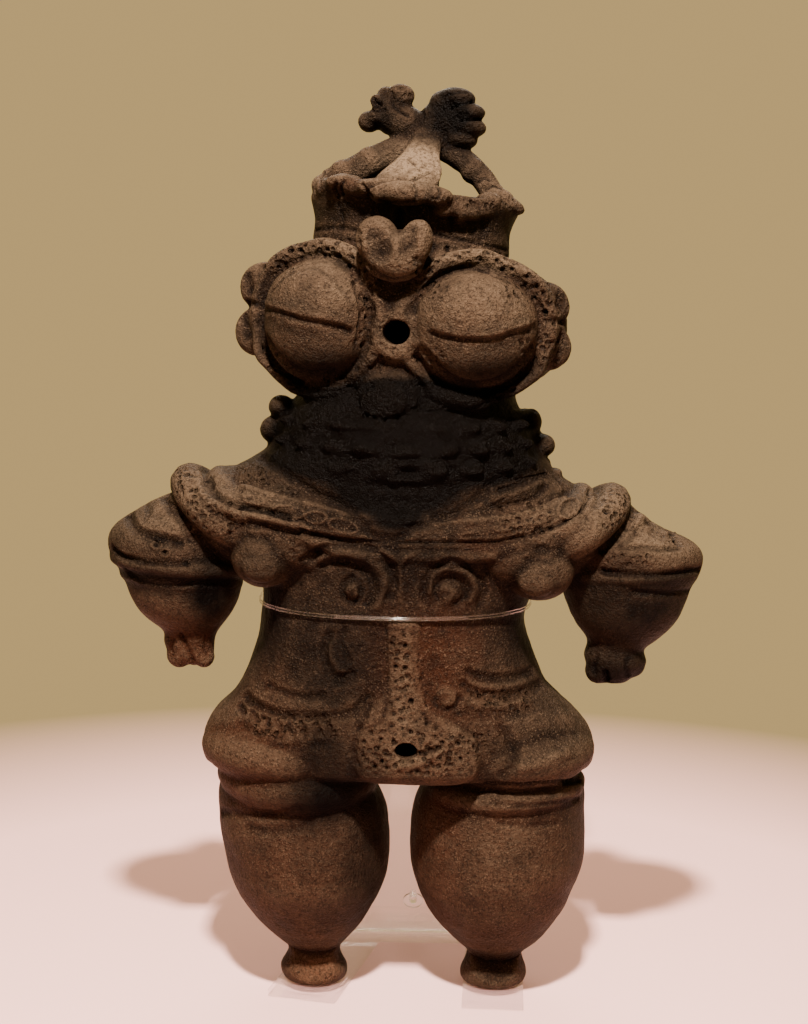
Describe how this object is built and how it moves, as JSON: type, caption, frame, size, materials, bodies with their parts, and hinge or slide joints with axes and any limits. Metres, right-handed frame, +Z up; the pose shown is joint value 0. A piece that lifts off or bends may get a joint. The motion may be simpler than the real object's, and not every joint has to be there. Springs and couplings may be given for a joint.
{
  "type": "goggle-eyed dogu figure",
  "caption": "Goggle-eyed fired-clay figure with an openwork crown and swollen limbs, held upright by a clear stand and waist line.",
  "frame": {"origin": "on the ground under the middle of the whole outline", "axes": "+Z up, the figure faces -Y, +X to the right of someone who looks at its face"},
  "size_m": [0.2352, 0.123, 0.3612],
  "materials": {
    "fired_clay": null,
    "clear_acrylic": "clear polished acrylic",
    "clear_line": "clear tube"
  },
  "bodies": {
    "root": {"dogu_figure": "fired_clay", "stand_base": "clear_acrylic", "stand_upright": "clear_acrylic", "stand_screw": "clear_acrylic", "waist_line": "clear_line"}
  },
  "joints": []
}
